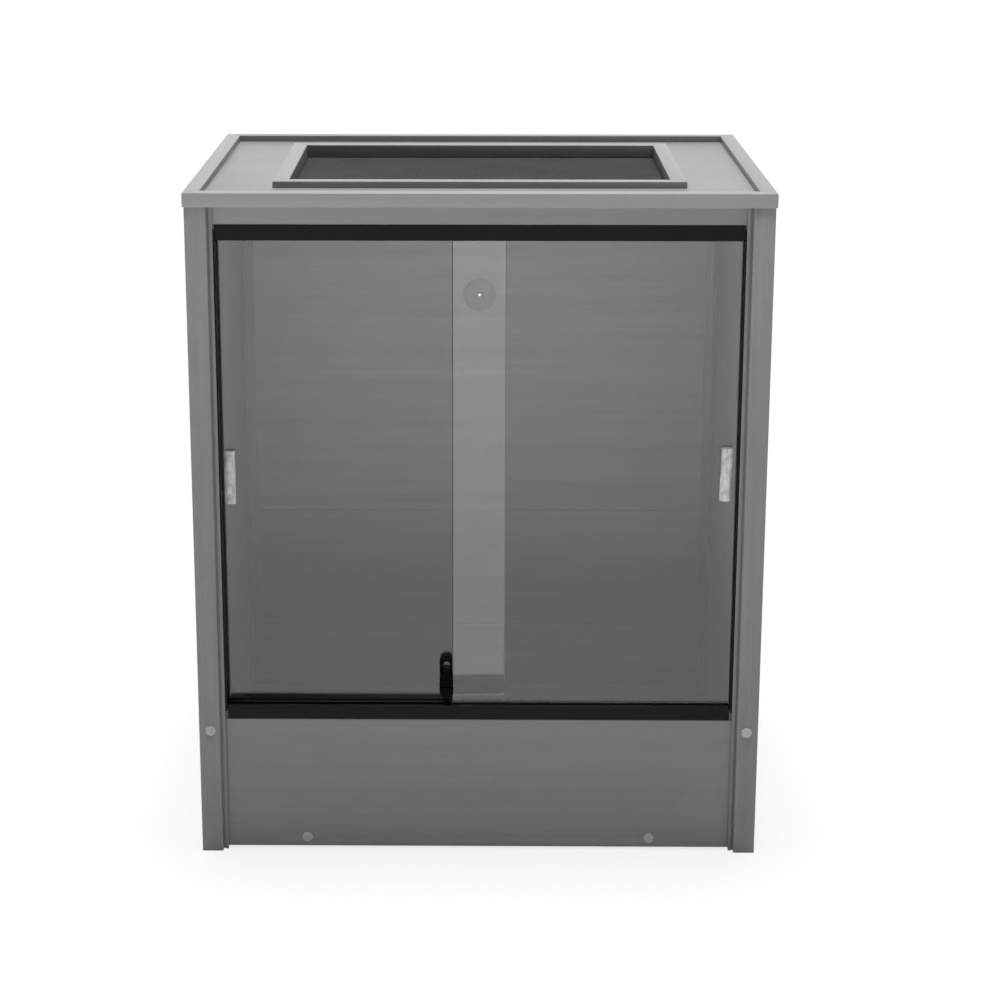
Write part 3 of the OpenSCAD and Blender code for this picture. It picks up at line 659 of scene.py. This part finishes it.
key_plate = np.stack([
    at_depth(whole(edge), catch_back), at_depth(whole(0), catch_back - edge),
    at_depth(whole(0), plate_front + 0.5 * mm), at_depth(whole(0.5 * mm), plate_front),
    at_depth(key_slot(edge), plate_front), at_depth(key_slot(0), plate_front + edge),
    at_depth(key_slot(0), catch_back)])
front_toe = np.stack([at_depth(toe(inset), y) for inset, y in (
    (3 * edge, catch_front), (edge, catch_front + edge), (0, catch_front + 3 * edge),
    (0, toe_back))])

# Two cores join toe and plate and leave a channel between them for the slide's tongue.
core_low, core_high = catch_low.z + 5.2 * mm, toe_top - 0.3 * mm
cores = [block((left + right) / 2, (right - left) / 2, core_low, core_high, toe_back, plate_front)
         for left, right in ((catch_low.x + 0.4 * mm, catch_middle - key_neck),
                             (catch_middle + key_neck, pane_low.x - gap))]


def bar(inset):
    """A flat bar with a round free end, rising a little towards it."""
    left, right = catch_middle + key_neck + 0.4 * mm, catch_high.x
    low, high = catch_low.z + 2.6 * mm + inset, catch_low.z + 19.6 * mm - inset
    end = 3 * mm                           # radius of the free end's corners
    slope = math.tan(math.radians(1.4))
    turn = np.pi / 2 * np.arange(9) / 8
    upper = np.stack([right - end + (end - inset) * np.sin(turn),
                      high - end + end * np.cos(turn)], axis=-1)
    lower = np.stack([upper[::-1, 0], low + high - upper[::-1, 1]], axis=-1)
    near = np.array([[left, low], [left, high]])
    line = np.concatenate([upper, lower, near])
    line[:, 1] += (line[:, 0] - left) * slope
    return line


bar_inset = 0.45 * mm                      # from the pane in front and the plate's back
flat_bar = np.stack([at_depth(bar(inset), y) for inset, y in (
    (edge, pane_high.y + bar_inset), (0, pane_high.y + bar_inset + edge),
    (0, catch_back - bar_inset - edge), (edge, catch_back - bar_inset))])
body_skins = [skin(key_plate, wrap=True)] + [skin(rows) for rows in (front_toe, flat_bar, *cores)]
moulding("catch_body", body_skins, catch_moulding, "right_door", "catch_housing")

# %% Catch slide
slide_top = bolt_high.z
slide_low = slide_top - 14.5 * mm
stem_half = key_neck - 0.2 * mm


def ribbed_pad(half, low, high, front, back, ribs=4, rib=0.45 * mm, corner=0.6 * mm):
    """A thumb pad with cut corners. Its front waves in and out with height by rib."""
    z = np.linspace(low, high, 8 * ribs + 1)
    wave = np.abs(np.cos(np.pi * ribs * (z - low) / (high - low)))
    plan_x = np.array([-half, half, half, half - corner, -half + corner, -half])
    rows = np.zeros((len(z), 6, 3))
    rows[:, :, 0] = catch_middle + plan_x
    rows[:, :, 2] = z[:, None]
    face = front + rib * wave
    rows[:, 0:2, 1] = back
    rows[:, 2, 1] = rows[:, 5, 1] = face + corner
    rows[:, 3, 1] = rows[:, 4, 1] = face
    return rows


pad = ribbed_pad(6.9 * mm, slide_low, slide_top, bolt_low.y, pane_low.y - 0.3 * mm)
neck = block(catch_middle, 5.9 * mm, slide_low, slide_top, pane_low.y - 0.5 * mm,
             plate_front - 0.2 * mm)
stem = block(catch_middle, stem_half, slide_low + 0.1 * mm, slide_low + 8.0 * mm,
             plate_front - 0.4 * mm, catch_back + 0.4 * mm)
flange = block(catch_middle, 3.8 * mm, slide_low + 0.2 * mm, slide_low + 8.1 * mm,
               catch_back + 0.15 * mm, bolt_high.y)
pane_middle = (pane_low.y + pane_high.y) / 2
tongue = block(catch_middle, stem_half, bolt_low.z, slide_low + 0.5 * mm,
               pane_middle - 1.8 * mm, pane_middle + 1.8 * mm)
moulding("catch_slide", [skin(rows) for rows in (pad, neck, stem, flange, tongue)],
         bolt_moulding, "catch_bolt", "catch_bolt")

# %% [markdown]
# ## Room
#
# A pale floor runs out of sight, and a soft lamp hangs high over the cabinet. A second, wide
# lamp lies on the floor in front and faces up: it stands for the light that a brightly lit
# floor throws back at the doors, and is hidden from the camera, from mirrors and from glass.
# For light that bounces, the floor is an ordinary pale surface. The camera, mirrors and
# glass see it near white, still darkened where the cabinet keeps the light off.

# %% Floor and light
def seen_directly(tree):
    """1 for rays from the camera, off a mirror or through glass, 0 for all others."""
    ray = add(tree, "ShaderNodeLightPath").outputs
    return highest(tree, ray["Is Camera Ray"], ray["Is Glossy Ray"], ray["Is Transmission Ray"])


def room_floor(half_side=25.0, pale=0.8, white=0.78, shaded=0.2):
    """Camera, mirror and glass rays get a glow of white plus a thin coat of diffuse, which
    carries the shadow; all others get the plain pale diffuse."""
    mesh = bpy.data.meshes.new("room_floor")
    s = half_side
    mesh.from_pydata([(-s, -s, 0), (s, -s, 0), (s, s, 0), (-s, s, 0)], [], [(0, 1, 2, 3)])
    ground = put("room_floor", mesh)
    mat, tree, principled = material("pale floor", Base_Color=grey(pale), Roughness=0.9,
                                     Specular_IOR_Level=0.1)
    glow = add(tree, "ShaderNodeEmission", {"Color": grey(1.0), "Strength": white}).outputs[0]
    coat = add(tree, "ShaderNodeBsdfDiffuse", {"Color": grey(shaded)}).outputs[0]
    both = add(tree, "ShaderNodeAddShader", {0: glow, 1: coat}).outputs[0]
    mix = add(tree, "ShaderNodeMixShader",
              {0: seen_directly(tree), 1: principled.outputs[0], 2: both})
    tree.links.new(mix.outputs[0], tree.nodes["Material Output"].inputs["Surface"])
    mesh.materials.append(mat)


room_floor()


def lamp(name, kind, energy, tilt, at=(0, 0, 0)):
    """A lamp that shines straight down and is then tilted by that many degrees."""
    light = put(name, bpy.data.lights.new(name, kind))
    light.data.energy = energy
    light.rotation_euler = Euler((math.radians(tilt), 0, 0))
    light.location = at
    return light


overhead = lamp("soft_overhead", "SUN", energy=3.7, tilt=-2)
overhead.data.angle = math.radians(24)     # wide, for soft shadows
glow = lamp("table_glow", "AREA", energy=135.0, tilt=180, at=(-1.5, -4.0, 0.01))
glow.data.shape = "RECTANGLE"
glow.data.size, glow.data.size_y = 8.0, 5.8
glow.visible_camera = glow.visible_glossy = glow.visible_transmission = False

world = bpy.data.worlds.new("room")
bpy.context.scene.world = world
world.use_nodes = True
background = world.node_tree.nodes["Background"]
background.inputs["Color"].default_value = grey(1.0)
world.node_tree.links.new(spread(world.node_tree, seen_directly(world.node_tree), 0.01, 1.0),
                          background.inputs["Strength"])
bpy.context.scene.view_settings.view_transform = "Standard"
print("room lit by", overhead.name, "and", glow.name)
